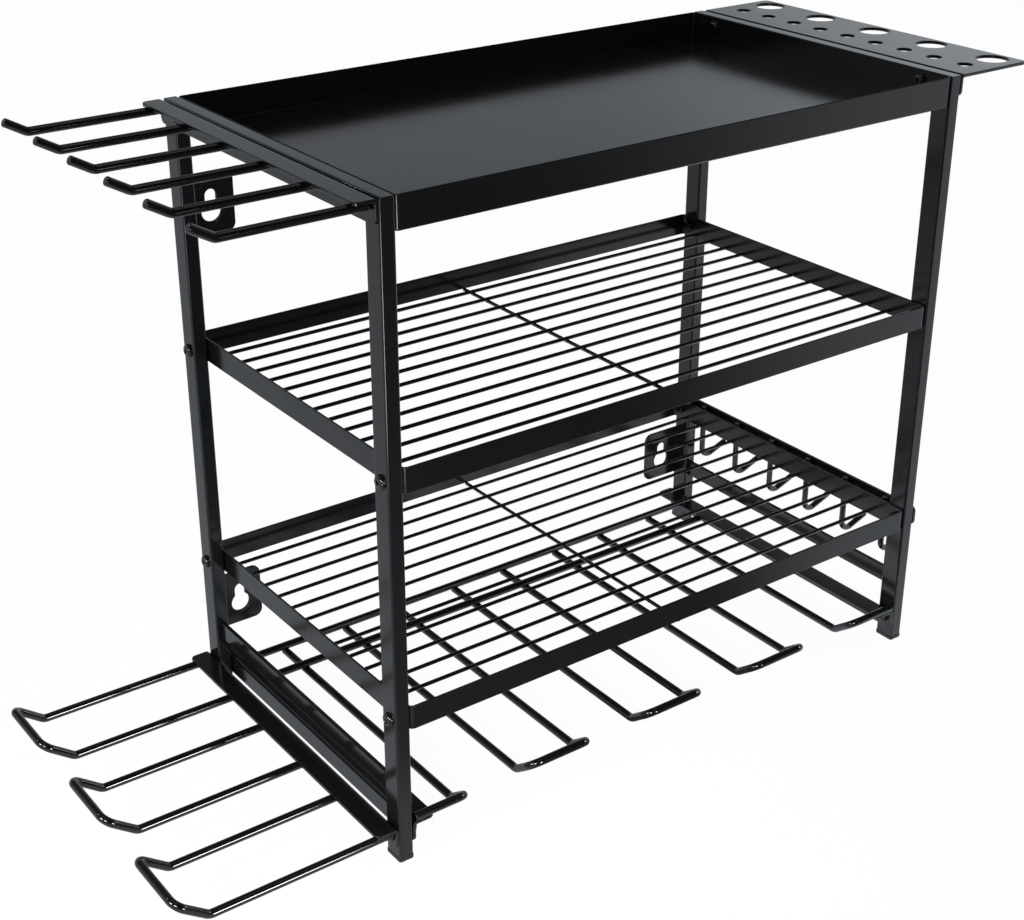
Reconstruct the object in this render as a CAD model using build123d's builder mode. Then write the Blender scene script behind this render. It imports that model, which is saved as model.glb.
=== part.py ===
"""Free-standing or wall-hung power-tool organizer, black powder-coated steel.

A rectangular tube frame carries a sheet tray, two wire shelves, a bottom drill rack with raised
wire loops, a side rack with three loops, a row of plier hooks on the left, a perforated
screwdriver plate on the right and a strip of short hooks low on the right.

Frame: X along the width, Y towards the wall (the wall plane is y = 0), Z up. The origin is the
middle of the four keyholes on the wall plane. Lengths in millimetres.
"""

import os

from build123d import *

os.makedirs("parts", exist_ok=True)

# Overall frame, outside the tubes
frame_width = 446.0
frame_depth = 250.0
frame_height = 426.0

# Rectangular steel tube of the legs and top rails
tube_width = 10.0
tube_depth = 15.0
tube_wall = 1.2
tube_corner = 1.5

# Plastic feet
foot_height = 3.0
foot_overhang = 0.4
foot_plug = 9.0
plug_clearance = 0.15

# Bent sheet used for the racks and tabs
sheet = 2.2
bend = 1.0
end_corner = 4.0

# Tray on top and wire shelves
tray_height = 20.4
tray_sheet = 1.0
tray_corner = 4.0
shelf_height = 16.0
shelf_strip = 1.5
low_shelf_top = 110.0
wire_dia = 2.6
wire_count = 13
wire_edge = 14.6
wire_rise = 2.2

# Flat bars between the front and rear legs
bar_top = 55.1
bar_height = 12.7
bar_thick = 3.0

# Keyhole tabs for the wall
tab_width = 33.0
tab_height = 41.0
tab_corner = 6.0
tab_low = 42.0
tab_top_gap = 52.0
keyhole_rise = 15.8
keyhole_inset = 16.4
keyhole_dia = 14.0
keyhole_slot = 8.0
keyhole_length = 10.7

# Wire rods and the racks they form
rod_dia = 5.5
rod_bend = 7.0
rod_clearance = 0.4
rack_top = 26.0
rack_flange = 15.0
drill_angle_reach = 16.5
drill_side_space = 36.4
drill_loop_width = 46.3
drill_bar_gap = 19.6
drill_bar_pitch = 29.4
drill_rise_start = 19.0
drill_front = 1.5
side_reach = 15.4
side_loop_edge = 30.2
side_loop_width = 51.6
side_loop_run = 126.6
side_tip_out = 20.4
side_tip_up = 15.5

# Plier hooks, upper left
hook_reach = 15.0
hook_count = 6
hook_edge = 6.5
hook_run = 91.0
hook_tip_out = 14.0
hook_tip_up = 8.0

# Screwdriver plate, upper right
plate_reach = 65.0
port_edge = 18.2
small_port_dia = 10.4
small_port_count = 9
small_port_out = 24.0
large_port_dia = 21.6
large_port_out = 51.2

# Hook strip, lower right
strip_height = 15.0
strip_sheet = 2.5
strip_rod = 4.5
strip_hook_edge = 25.7
strip_hook_drop = 33.6
strip_tip_out = 23.0
strip_tip_up = 9.6

# Button-head bolts and hexagon nuts
bolt_dia = 4.0
bolt_clearance = 0.25
head_dia = 9.0
head_height = 2.6
socket_across = 2.5
socket_depth = 1.3
nut_across = 7.0
nut_height = 3.2
nut_clearance = 0.1
bolt_end = 1.0
tray_bolt_edge = 25.0
tray_bolt_drop = 7.0

# Levels and faces in the part's own frame
keyhole_low = tab_low + keyhole_rise
keyhole_high = frame_height - tab_top_gap - tab_height + keyhole_rise
floor = -(keyhole_low + keyhole_high) / 2
top = floor + frame_height
front = -frame_depth
middle = -frame_depth / 2
outer = frame_width / 2
inner = outer - tube_width
low_shelf = floor + low_shelf_top - shelf_height
middle_shelf = floor + (low_shelf_top + frame_height) / 2 - shelf_height
rack = floor + rack_top
rod_drop = sheet + rod_dia / 2
leg_rows = (front + tube_depth / 2, -tube_depth / 2)
tray_rows = (front + tray_bolt_edge, -tray_bolt_edge)
tray_bolt_level = top - tray_bolt_drop
rack_bolt_level = rack - rack_flange / 2
low_bolt_level = low_shelf + shelf_height / 2
middle_bolt_level = middle_shelf + shelf_height / 2
wire_pitch = (frame_depth - 2 * wire_edge) / (wire_count - 1)
rim_corner = (tube_depth - nut_across) / 2


def save(piece, name):
    """Label a finished sub-part and write its STEP file."""
    piece.label = name
    export_step(piece, f"parts/{name}.step")


def cross_drill(rows, level):
    """Drill bolt holes along X through the part being built, at each row and one level."""
    with Locations(*[(0, row, level) for row in rows]):
        Cylinder(bolt_dia / 2 + bolt_clearance, 2 * frame_width, rotation=(0, 90, 0), mode=Mode.SUBTRACT)


def tube_section():
    """Closed tube section with rounded corners, at the current sketch location."""
    RectangleRounded(tube_width, tube_depth, tube_corner)
    RectangleRounded(
        tube_width - 2 * tube_wall,
        tube_depth - 2 * tube_wall,
        tube_corner / 3,
        mode=Mode.SUBTRACT,
    )


def bent_angle(face, side, reach, level):
    """Sheet bent to a right angle: a plate level with the top and a flange down along the face."""
    with BuildSketch(Plane.XZ) as section:
        with BuildLine():
            Polyline(
                (face, level),
                (face + side * reach, level),
                (face + side * reach, level - sheet),
                (face + side * sheet, level - sheet),
                (face + side * sheet, level - rack_flange),
                (face, level - rack_flange),
                close=True,
            )
        make_face()
        fillet(vertices().sort_by_distance((face, level))[0], bend + sheet)
        fillet(vertices().sort_by_distance((face + side * sheet, level - sheet))[0], bend)
    extrude(section.sketch, amount=frame_depth)
    outward = Axis((0, 0, 0), (side, 0, 0))
    fillet(edges(Select.LAST).filter_by(Axis.Z).sort_by(outward)[-2:], end_corner)
    fillet(edges().filter_by(Axis.X).sort_by(Axis.Z)[:2], end_corner)


def rod_along(points, dia, radius):
    """Round rod swept along straight runs joined by bends."""
    with BuildLine() as run:
        FilletPolyline(*points, radius=radius)
    with BuildSketch(Plane(origin=run.line @ 0, z_dir=run.line % 0)) as section:
        Circle(dia / 2)
    sweep(section.sketch, path=run.line)


def button_bolt(grip):
    """Button-head bolt along Z, its head seated at z = 0 and its shank below."""
    with BuildPart() as bolt:
        Cylinder(head_dia / 2, head_height, align=(Align.CENTER, Align.CENTER, Align.MIN))
        fillet(edges().sort_by(Axis.Z)[-1], 0.8 * head_height)
        with BuildSketch(Plane.XY.offset(head_height)):
            RegularPolygon(socket_across / 2, 6, major_radius=False)
        extrude(amount=-socket_depth, mode=Mode.SUBTRACT)
        Cylinder(
            bolt_dia / 2,
            grip + nut_height + bolt_end,
            align=(Align.CENTER, Align.CENTER, Align.MAX),
        )
    return bolt.part


def seats(spots, side):
    """Locations whose Z axis points along X towards the given side."""
    return [Location(spot, (0, 90 * side, 0)) for spot in spots]


# Legs: closed tube, mitred at the top to meet the top rails
for side_name, side in (("left", -1), ("right", 1)):
    for end_name, row, lean in (("front", leg_rows[0], 1), ("rear", leg_rows[1], -1)):
        with BuildPart() as leg:
            with BuildSketch(Plane.XY.offset(floor + foot_height)):
                with Locations((side * (outer - tube_width / 2), row)):
                    tube_section()
            extrude(amount=frame_height - foot_height)
            mitre = Plane(origin=(0, row - lean * tube_depth / 2, top), z_dir=(0, lean, 1))
            split(bisect_by=mitre, keep=Keep.BOTTOM)
            cross_drill([row], low_bolt_level)
            cross_drill([row], middle_bolt_level)
            cross_drill([row], rack_bolt_level)
        save(leg.part, f"{side_name}_{end_name}_leg")

# Feet: plastic caps plugged into the legs
foot_width = tube_width + 2 * foot_overhang
foot_depth = tube_depth + 2 * foot_overhang
plug_width = tube_width - 2 * (tube_wall + plug_clearance)
plug_depth = tube_depth - 2 * (tube_wall + plug_clearance)
for side_name, side in (("left", -1), ("right", 1)):
    for end_name, row, shift in (("front", leg_rows[0], 0), ("rear", leg_rows[1], -foot_overhang)):
        foot_x = side * (outer - tube_width / 2)
        with BuildPart() as foot:
            with BuildSketch(Plane.XY.offset(floor)):
                with Locations((foot_x, row + shift)):
                    RectangleRounded(foot_width, foot_depth, tube_corner + foot_overhang)
            extrude(amount=foot_height)
            fillet(faces().sort_by(Axis.Z)[0].edges(), 0.8)
            with BuildSketch(Plane.XY.offset(floor + foot_height)):
                with Locations((foot_x, row)):
                    RectangleRounded(plug_width, plug_depth, tube_corner / 3)
            extrude(amount=foot_plug)
        save(foot.part, f"{side_name}_{end_name}_foot")

# Top rails: the same tube laid along the depth, mitred at both ends
for side_name, side in (("left", -1), ("right", 1)):
    with BuildPart() as top_rail:
        with BuildSketch(Plane.XZ):
            with Locations((side * (outer - tube_width / 2), top - tube_depth / 2)):
                tube_section()
        extrude(amount=frame_depth)
        split(bisect_by=Plane(origin=(0, front, top), z_dir=(0, 1, 1)), keep=Keep.TOP)
        split(bisect_by=Plane(origin=(0, 0, top), z_dir=(0, -1, 1)), keep=Keep.TOP)
        cross_drill(tray_rows, tray_bolt_level)
    save(top_rail.part, f"{side_name}_top_rail")

# Flat bars welded between the front and rear legs, in the middle of the tubes
for side_name, side in (("left", -1), ("right", 1)):
    with BuildPart() as cross_bar:
        with Locations((side * (outer - tube_width / 2), middle, floor + bar_top - bar_height / 2)):
            Box(bar_thick, frame_depth - 2 * tube_depth, bar_height)
    save(cross_bar.part, f"{side_name}_cross_bar")

# Wall tabs: plates with a keyhole, welded to the legs flush with the wall plane
for side_name, side in (("left", -1), ("right", 1)):
    for end_name, hole in (("lower", floor + keyhole_low), ("upper", floor + keyhole_high)):
        tab_base = hole - keyhole_rise
        keyhole_x = side * (inner - keyhole_inset)
        with BuildPart() as tab:
            with BuildSketch(Plane.XZ):
                with Locations((side * (inner - tab_width / 2), tab_base + tab_height / 2)):
                    Rectangle(tab_width, tab_height)
                fillet(vertices().sort_by(Axis.X, reverse=side > 0)[2:], tab_corner)
                with Locations((keyhole_x, hole)):
                    Circle(keyhole_dia / 2, mode=Mode.SUBTRACT)
                with Locations((keyhole_x, hole + keyhole_length / 2)):
                    Rectangle(keyhole_slot, keyhole_length, mode=Mode.SUBTRACT)
                with Locations((keyhole_x, hole + keyhole_length)):
                    Circle(keyhole_slot / 2, mode=Mode.SUBTRACT)
            extrude(amount=sheet)
        save(tab.part, f"{side_name}_{end_name}_wall_tab")

# Top tray: open sheet box between the top rails
with BuildPart() as top_tray:
    with BuildSketch(Plane.XY.offset(top - tray_height)):
        with Locations((0, middle)):
            RectangleRounded(2 * inner, frame_depth, tray_corner)
    extrude(amount=tray_height)
    fillet(faces().sort_by(Axis.Z)[0].edges(), 2 * tray_sheet)
    offset(amount=-tray_sheet, openings=faces().sort_by(Axis.Z)[-1])
    cross_drill(tray_rows, tray_bolt_level)
save(top_tray.part, "top_tray")

# Wire shelves: a bent strip rim, wires along the width and one cross wire under them
wire_rows = [-wire_edge - index * wire_pitch for index in range(wire_count)]
for shelf_name, base, bolt_level in (
    ("middle", middle_shelf, middle_bolt_level),
    ("lower", low_shelf, low_bolt_level),
):
    with BuildPart() as rim:
        with BuildSketch(Plane.XY.offset(base)):
            with Locations((0, middle)):
                RectangleRounded(2 * inner, frame_depth, rim_corner)
                RectangleRounded(
                    2 * (inner - shelf_strip),
                    frame_depth - 2 * shelf_strip,
                    rim_corner - shelf_strip,
                    mode=Mode.SUBTRACT,
                )
        extrude(amount=shelf_height)
        cross_drill(leg_rows, bolt_level)
    save(rim.part, f"{shelf_name}_shelf_rim")

    with BuildPart() as wires:
        with Locations(*[(0, row, base + wire_rise) for row in wire_rows]):
            Cylinder(wire_dia / 2, 2 * (inner - shelf_strip), rotation=(0, 90, 0))
    save(wires.part, f"{shelf_name}_shelf_wires")

    with BuildPart() as cross_wire:
        with Locations((0, middle, base + wire_rise - wire_dia)):
            Cylinder(wire_dia / 2, frame_depth - 2 * shelf_strip, rotation=(90, 0, 0))
    save(cross_wire.part, f"{shelf_name}_shelf_cross_wire")

# Bottom drill rack: an angle inside each pair of legs
for side_name, side in (("left", -1), ("right", 1)):
    with BuildPart() as drill_angle:
        bent_angle(side * inner, -side, drill_angle_reach, rack)
        cross_drill(leg_rows, rack_bolt_level)
    save(drill_angle.part, f"drill_rack_{side_name}_angle")

# Two cross bars under the angles carry the loops
bar_level = rack - rod_drop
bar_length = 2 * (inner - sheet - bend)
for end_name, row in (("rear", -drill_bar_gap), ("front", -drill_bar_gap - drill_bar_pitch)):
    with BuildPart() as bar:
        with Locations((0, row, bar_level)):
            Cylinder(rod_dia / 2, bar_length, rotation=(0, 90, 0))
    save(bar.part, f"drill_rack_{end_name}_bar")

# Drill loops: rods under the bars, raised at the front above the angles' plates
loop_level = bar_level - rod_dia
loop_back = -drill_bar_gap + rod_dia / 2
rise_row = front + drill_rise_start
tip_row = front + drill_front
tip_level = rack + rod_dia / 2
drill_pitch = (2 * inner - drill_side_space) / 4
for index in (-1, 0, 1):
    near_x = index * drill_pitch - drill_loop_width / 2
    far_x = index * drill_pitch + drill_loop_width / 2
    with BuildPart() as drill_loop:
        rod_along(
            [
                (near_x, loop_back, loop_level),
                (near_x, rise_row, loop_level),
                (near_x, tip_row, tip_level),
                (far_x, tip_row, tip_level),
                (far_x, rise_row, loop_level),
                (far_x, loop_back, loop_level),
            ],
            rod_dia,
            rod_bend,
        )
    save(drill_loop.part, f"drill_loop_{index + 3}")

# End loops: one rod each, the raised front lying on the side angle
for number, side in ((1, -1), (5, 1)):
    rod_x = side * (2 * drill_pitch - drill_loop_width / 2)
    with BuildPart() as end_loop:
        rod_along(
            [
                (rod_x, loop_back, loop_level),
                (rod_x, rise_row, loop_level),
                (rod_x, tip_row, tip_level),
                (side * (inner - sheet), tip_row, tip_level),
            ],
            rod_dia,
            rod_bend,
        )
    save(end_loop.part, f"drill_loop_{number}")

# Side rack: an angle on the outside of the left legs with three raised loops
with BuildPart() as side_rack_angle:
    bent_angle(-outer, -1, side_reach, rack)
    cross_drill(leg_rows, rack_bolt_level)
save(side_rack_angle.part, "side_rack_angle")

side_level = rack - rod_drop
side_root = -outer - sheet - head_height - rod_clearance
side_bend_x = -outer - side_loop_run
side_tip_x = side_bend_x - side_tip_out
side_pitch = frame_depth / 2 - side_loop_edge
for index in (-1, 0, 1):
    near_y = middle + index * side_pitch - side_loop_width / 2
    far_y = near_y + side_loop_width
    with BuildPart() as side_loop:
        rod_along(
            [
                (side_root, near_y, side_level),
                (side_bend_x, near_y, side_level),
                (side_tip_x, near_y, side_level + side_tip_up),
                (side_tip_x, far_y, side_level + side_tip_up),
                (side_bend_x, far_y, side_level),
                (side_root, far_y, side_level),
            ],
            rod_dia,
            rod_bend,
        )
    save(side_loop.part, f"side_loop_{index + 2}")

# Plier hooks: an angle on the left top rail with straight rods turned up at the tip
with BuildPart() as hook_rack_angle:
    bent_angle(-outer, -1, hook_reach, top)
    cross_drill(tray_rows, tray_bolt_level)
save(hook_rack_angle.part, "hook_rack_angle")

hook_level = top - rod_drop
hook_root = -outer - sheet - bend
hook_bend_x = -outer - hook_run
hook_pitch = (frame_depth - 2 * hook_edge) / (hook_count - 1)
for index in range(hook_count):
    row = front + hook_edge + index * hook_pitch
    with BuildPart() as plier_hook:
        rod_along(
            [
                (hook_root, row, hook_level),
                (hook_bend_x, row, hook_level),
                (hook_bend_x - hook_tip_out, row, hook_level + hook_tip_up),
            ],
            rod_dia,
            rod_bend,
        )
        fillet(edges().sort_by(Axis.X)[0], rod_dia / 5)
    save(plier_hook.part, f"plier_hook_{index + 1}")

# Screwdriver plate: a wide angle on the right top rail with two rows of ports
port_pitch = (frame_depth - 2 * port_edge) / (small_port_count - 1)
port_rows = [front + port_edge + index * port_pitch for index in range(small_port_count)]
with BuildPart() as screwdriver_plate:
    bent_angle(outer, 1, plate_reach, top)
    cross_drill(tray_rows, tray_bolt_level)
    with Locations(*[(outer + small_port_out, row, top) for row in port_rows]):
        Cylinder(small_port_dia / 2, 3 * sheet, mode=Mode.SUBTRACT)
    with Locations(*[(outer + large_port_out, row, top) for row in port_rows[::2]]):
        Cylinder(large_port_dia / 2, 3 * sheet, mode=Mode.SUBTRACT)
save(screwdriver_plate.part, "screwdriver_plate")

# Hook strip: a flat bar on the outside of the right legs, held by the lower shelf's bolts
strip_middle = low_shelf + strip_height / 2
with BuildPart() as hook_strip:
    with BuildSketch(Plane.YZ.offset(outer)):
        with Locations((middle, strip_middle)):
            RectangleRounded(frame_depth, strip_height, end_corner)
    extrude(amount=strip_sheet)
    cross_drill(leg_rows, low_bolt_level)
save(hook_strip.part, "hook_strip")

# Strip hooks: short rods welded behind the strip, bent out under it and up
strip_rod_x = outer - strip_rod / 2
strip_rod_top = low_shelf + strip_height - 1.0
strip_elbow = low_shelf - strip_hook_drop
strip_pitch = (frame_depth - 2 * strip_hook_edge) / (hook_count - 1)
for index in range(hook_count):
    row = front + strip_hook_edge + index * strip_pitch
    with BuildPart() as strip_hook:
        rod_along(
            [
                (strip_rod_x, row, strip_rod_top),
                (strip_rod_x, row, strip_elbow),
                (outer + strip_tip_out, row, strip_elbow + strip_tip_up),
            ],
            strip_rod,
            rod_bend,
        )
        fillet(edges().sort_by(Axis.X)[-1], strip_rod / 5)
    save(strip_hook.part, f"strip_hook_{index + 1}")

# Hexagon nut along Z, seated at z = 0
with BuildPart() as nut:
    with BuildSketch():
        RegularPolygon(nut_across / 2, 6, major_radius=False)
        Circle(bolt_dia / 2 + nut_clearance, mode=Mode.SUBTRACT)
    extrude(amount=nut_height)

# Tray fixings: heads inside the tray, nuts under the side plates
tray_bolt = button_bolt(tray_sheet + tube_width + sheet)
with BuildPart() as tray_bolts:
    for side in (-1, 1):
        spots = [(side * (inner - tray_sheet), row, tray_bolt_level) for row in tray_rows]
        with Locations(*seats(spots, -side)):
            add(tray_bolt)
save(tray_bolts.part, "tray_bolts")

with BuildPart() as tray_nuts:
    for side in (-1, 1):
        spots = [(side * (outer + sheet), row, tray_bolt_level) for row in tray_rows]
        with Locations(*seats(spots, side)):
            add(nut.part)
save(tray_nuts.part, "tray_nuts")

# Shelf and rack fixings: heads outside the legs, nuts inside, over whatever the bolt clamps
for fixing_name, bolt_level, inside, left_pad, right_pad in (
    ("middle_shelf", middle_bolt_level, shelf_strip, 0, 0),
    ("lower_shelf", low_bolt_level, shelf_strip, 0, strip_sheet),
    ("drill_rack", rack_bolt_level, sheet, sheet, 0),
):
    left_bolt = button_bolt(left_pad + tube_width + inside)
    right_bolt = button_bolt(right_pad + tube_width + inside)
    with BuildPart() as bolts:
        with Locations(*seats([(-outer - left_pad, row, bolt_level) for row in leg_rows], -1)):
            add(left_bolt)
        with Locations(*seats([(outer + right_pad, row, bolt_level) for row in leg_rows], 1)):
            add(right_bolt)
    save(bolts.part, f"{fixing_name}_bolts")

    with BuildPart() as nuts:
        for side in (-1, 1):
            spots = [(side * (inner - inside), row, bolt_level) for row in leg_rows]
            with Locations(*seats(spots, -side)):
                add(nut.part)
    save(nuts.part, f"{fixing_name}_nuts")
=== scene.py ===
"""Looks of a black steel tool organizer that stands on a bench or hangs on a wall.

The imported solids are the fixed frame. Each section below dresses one piece, or one group of like pieces,
in the order in which the organizer is put together: side frames, feet, wall tabs, tray, shelves, bottom
drill rack, side rack, plier hooks, screwdriver plate, hook strip and fixings. Lengths are in metres.
"""

import bmesh
import bpy
import numpy as np
from mathutils import Matrix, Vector
from mathutils.geometry import delaunay_2d_cdt


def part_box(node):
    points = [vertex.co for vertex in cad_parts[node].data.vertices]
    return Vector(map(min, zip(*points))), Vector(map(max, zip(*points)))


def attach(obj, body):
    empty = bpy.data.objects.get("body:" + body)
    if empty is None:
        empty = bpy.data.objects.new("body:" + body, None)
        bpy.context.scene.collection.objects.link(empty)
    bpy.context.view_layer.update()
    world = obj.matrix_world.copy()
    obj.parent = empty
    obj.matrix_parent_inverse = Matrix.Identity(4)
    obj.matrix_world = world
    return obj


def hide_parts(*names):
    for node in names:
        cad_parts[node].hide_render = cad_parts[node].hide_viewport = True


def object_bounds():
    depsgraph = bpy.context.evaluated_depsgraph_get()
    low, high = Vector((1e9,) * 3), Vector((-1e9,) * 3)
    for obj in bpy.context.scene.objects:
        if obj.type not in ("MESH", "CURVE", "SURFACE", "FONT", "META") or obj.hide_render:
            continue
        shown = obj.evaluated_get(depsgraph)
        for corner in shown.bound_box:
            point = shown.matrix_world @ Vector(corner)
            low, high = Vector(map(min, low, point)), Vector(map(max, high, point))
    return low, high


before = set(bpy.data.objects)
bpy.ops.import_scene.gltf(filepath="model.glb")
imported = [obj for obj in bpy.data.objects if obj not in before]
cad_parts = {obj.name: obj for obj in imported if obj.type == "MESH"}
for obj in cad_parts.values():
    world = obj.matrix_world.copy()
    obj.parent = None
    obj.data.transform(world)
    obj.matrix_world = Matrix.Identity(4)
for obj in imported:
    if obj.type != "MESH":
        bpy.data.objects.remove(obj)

cad_low, cad_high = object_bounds()

# Side frames: on each side two legs and a top rail of thin rectangular steel tube, mitred and welded at
# the corners, ground flush and powder coated black. The coat is semi-gloss with a faint orange peel.
mm = 0.001
tube_corner = 1.5 * mm


class Value:
    """A number that varies over a surface: an operator on it adds a Math node to its tree."""

    def __init__(self, nodes, socket):
        self.nodes = nodes
        self.socket = socket

    def combine(self, operation, first, second):
        return self.nodes.add("ShaderNodeMath", {"operation": operation}, {0: first, 1: second})

    def __add__(self, other):
        return self.combine("ADD", self, other)

    def __radd__(self, other):
        return self.combine("ADD", other, self)

    def __sub__(self, other):
        return self.combine("SUBTRACT", self, other)

    def __rsub__(self, other):
        return self.combine("SUBTRACT", other, self)

    def __mul__(self, other):
        return self.combine("MULTIPLY", self, other)

    def __rmul__(self, other):
        return self.combine("MULTIPLY", other, self)


class Nodes:
    """A node tree that is filled through one method."""

    def __init__(self, tree):
        self.tree = tree
        tree.nodes.clear()

    def add(self, kind, settings, inputs, output=0):
        """Add a node: its settings first, then a value or a link for each socket. Gives one output."""
        made = self.tree.nodes.new(kind)
        for name, value in settings.items():
            setattr(made, name, value)
        for key, value in inputs.items():
            if isinstance(value, Value):
                self.tree.links.new(value.socket, made.inputs[key])
            else:
                made.inputs[key].default_value = value
        return Value(self, made.outputs[output]) if made.outputs else None

    def noise(self, scale, detail):
        """Noise on Object coordinates; scale is in waves per metre."""
        place = self.add("ShaderNodeTexCoord", {}, {}, "Object")
        return self.add("ShaderNodeTexNoise", {}, {"Vector": place, "Scale": scale, "Detail": detail})

    def blend(self, factor, first, second):
        """Colour that goes from the first to the second with the factor. A colour mix has its factor at
        socket 0, its two colours at 6 and 7 and its result at output 2."""
        settings = {"data_type": "RGBA", "clamp_factor": True}
        return self.add("ShaderNodeMix", settings, {0: factor, 6: first, 7: second}, 2)


def coating(name, dark, pale, roughness, index, peel, grain_scale):
    """Sprayed or moulded black skin with the given refractive index.

    Broad clouds shift the colour from dark to pale and dull the gloss a little. Fine grain and a broader
    orange peel lift the surface by the peel's depth. The edge attribute, high on rounded edges, shows
    where the skin is thin and rubbed: there it is paler and smoother.
    """
    cloud_scale = 18.0
    ripple_scale = grain_scale / 4
    grain_lift = 0.6
    bump_strength = 0.4
    cloud_shade, grain_shade, rubbed_shade = 0.55, 0.1, 0.5
    cloud_dulls, grain_dulls, rubbing_shines = 0.06, 0.03, 0.04
    material = bpy.data.materials.new(name)
    material.use_nodes = True
    nodes = Nodes(material.node_tree)
    cloud = nodes.noise(cloud_scale, detail=3.0)
    grain = nodes.noise(grain_scale, detail=2.0)
    ripple = nodes.noise(ripple_scale, detail=1.0)
    rubbed = nodes.add("ShaderNodeAttribute", {"attribute_name": "edge"}, {}, "Fac")
    height = grain_lift * grain + ripple
    bump = nodes.add("ShaderNodeBump", {}, {"Strength": bump_strength, "Distance": peel, "Height": height})
    shade = cloud_shade * cloud + grain_shade * grain + rubbed_shade * rubbed
    shader = nodes.add(
        "ShaderNodeBsdfPrincipled",
        {},
        {
            "Base Color": nodes.blend(shade, (*dark, 1), (*pale, 1)),
            "Roughness": roughness + cloud_dulls * cloud + grain_dulls * grain - rubbing_shines * rubbed,
            "Normal": bump,
            "IOR": index,
        },
    )
    nodes.add("ShaderNodeOutputMaterial", {}, {"Surface": shader})
    return material


def rounded_rectangle(width, depth, radius, steps=6):
    """Loop of points and their outward directions, anticlockwise from +X: a quarter turn of the radius
    about each corner's own centre, with straight runs between them."""
    angle = (np.linspace(0, np.pi / 2, steps) + np.arange(4)[:, None] * np.pi / 2).ravel()
    corner = np.repeat([(1, 1), (-1, 1), (-1, -1), (1, -1)], steps, 0)
    outward = np.stack([np.cos(angle), np.sin(angle)], 1)
    return corner * (width / 2 - radius, depth / 2 - radius) + radius * outward, outward


def shell(rings, joined=False):
    """Surface through rings of points: quads bridge neighbouring rings, and the first and last ring are
    either joined to each other or closed with a face each."""
    index = np.arange(rings.shape[0] * rings.shape[1]).reshape(rings.shape[:2])
    lower = index if joined else index[:-1]
    upper = np.roll(index, -1, 0)[: len(lower)]
    around = [lower, np.roll(lower, -1, 1), np.roll(upper, -1, 1), upper]
    faces = np.stack(around, -1).reshape(-1, 4).tolist()
    if not joined:
        faces += [index[0, ::-1].tolist(), index[-1].tolist()]
    return rings.reshape(-1, 3), faces


def carry(profile, path, side):
    """Closed profile carried along an open path, mitred at its corners.

    The profile's first coordinate runs along the fixed side direction, its second along the path's
    normal. At a corner the two runs' normals are added and divided by 1 + cos(turn), which is the mitre.
    """
    path = np.asarray(path, float)
    run = np.diff(path, axis=0)
    run /= np.linalg.norm(run, axis=1)[:, None]
    before = np.vstack([run[:1], run])
    after = np.vstack([run, run[-1:]])
    normal = np.cross(side, before) + np.cross(side, after)
    normal /= 1 + np.sum(before * after, 1)[:, None]
    across = profile[None, :, :1] * np.asarray(side, float)
    return shell(path[:, None] + across + profile[None, :, 1:] * normal[:, None])


def add_piece(name, shells, material, slot, *nodes):
    """Join closed shells into one mesh that rides on the root body and stands for the given nodes.

    The edge attribute is the mean, over a point's faces, of 1 - cos(angle between face and point
    normals), scaled so that a rounded edge comes near 1 and a flat or gently curved face near 0.
    """
    sharp_angle = np.radians(40)
    edge_gain = 16
    edge_floor = 0.25
    starts = np.cumsum([0] + [len(points) for points, faces in shells])
    points = np.vstack([points for points, faces in shells])
    faces = [[i + start for i in face] for start, (_, part) in zip(starts, shells) for face in part]
    mesh = bpy.data.meshes.new(name)
    mesh.from_pydata(points, [], faces)
    work = bmesh.new()
    work.from_mesh(mesh)
    bmesh.ops.recalc_face_normals(work, faces=work.faces)
    work.to_mesh(mesh)
    work.free()
    mesh.polygons.foreach_set("use_smooth", np.ones(len(mesh.polygons), bool))
    mesh.set_sharp_from_angle(angle=sharp_angle)
    corner = np.empty(len(mesh.loops), int)
    mesh.loops.foreach_get("vertex_index", corner)
    sides = np.empty(len(mesh.polygons), int)
    mesh.polygons.foreach_get("loop_total", sides)
    face_normal = np.empty(len(mesh.polygons) * 3)
    mesh.polygons.foreach_get("normal", face_normal)
    point_normal = np.empty(len(mesh.vertices) * 3)
    mesh.vertices.foreach_get("normal", point_normal)
    facing = np.repeat(face_normal.reshape(-1, 3), sides, 0) * point_normal.reshape(-1, 3)[corner]
    lean = np.bincount(corner, 1 - facing.sum(1)) / np.bincount(corner)
    edge = mesh.attributes.new("edge", "FLOAT", "POINT")
    rounded = np.clip(edge_gain * lean - edge_floor, 0, 1)
    edge.data.foreach_set("value", rounded.astype(np.float32))
    mesh.materials.append(material)
    piece = bpy.data.objects.new(name, mesh)
    bpy.context.scene.collection.objects.link(piece)
    piece.modifiers.new("flat_faces_stay_flat", "WEIGHTED_NORMAL").keep_sharp = True
    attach(piece, "root")
    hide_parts(*nodes)


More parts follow.
